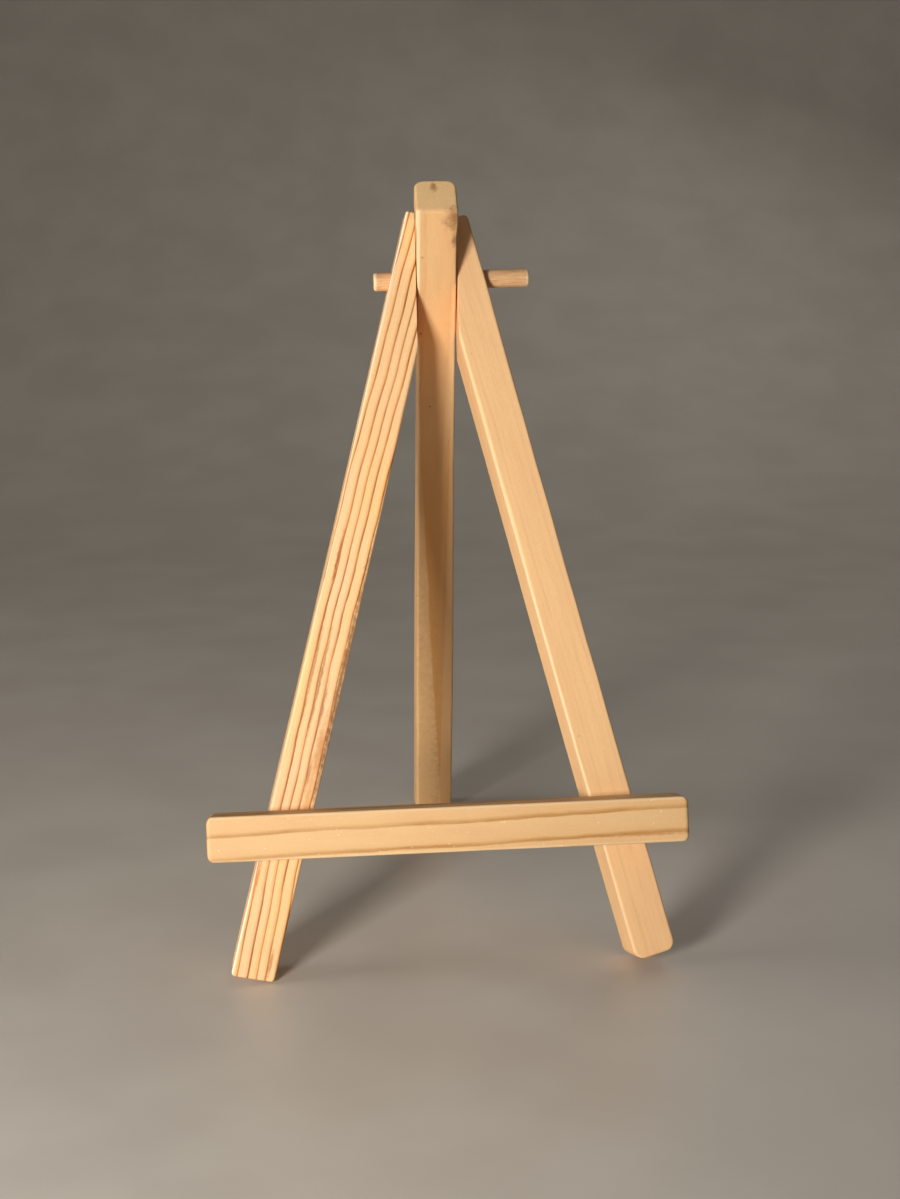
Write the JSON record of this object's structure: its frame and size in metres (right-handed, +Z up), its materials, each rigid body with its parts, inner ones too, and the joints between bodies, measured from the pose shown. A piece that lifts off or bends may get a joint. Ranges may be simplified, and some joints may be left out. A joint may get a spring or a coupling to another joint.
{
  "type": "mini display easel",
  "caption": "Small folding wooden easel: splayed mitred front legs, a crosswise ledge and a rear leg swinging on a dowel.",
  "frame": {"origin": "on the table, under the middle of the standing easel's bounding box", "axes": "+Z up, -Y towards the viewer who faces the displayed picture, +X to that viewer's right"},
  "size_m": [0.09, 0.1117, 0.1486],
  "materials": {
    "left_leg_pine": "raw sanded, strong straight grain",
    "right_leg_pine": "raw sanded, faint grain",
    "ledge_pine": "raw sanded, a few long grain lines",
    "rear_leg_pine": "raw sanded",
    "dowel_wood": "raw turned",
    "brad_steel": "bright wire"
  },
  "bodies": {
    "front_frame": {"left_front_leg": "left_leg_pine", "right_front_leg": "right_leg_pine", "ledge": "ledge_pine", "left_ledge_brad": "brad_steel", "right_ledge_brad": "brad_steel", "pivot_dowel": "dowel_wood"},
    "rear_leg": {"rear_leg": "rear_leg_pine"}
  },
  "joints": [
    {"name": "rear_leg_swing", "type": "hinge", "parent": "front_frame", "child": "rear_leg", "pos_m": [0, -0.02153, 0.13016], "axis": [1, 0, 0], "range_deg": [-41.5, 48]}
  ]
}
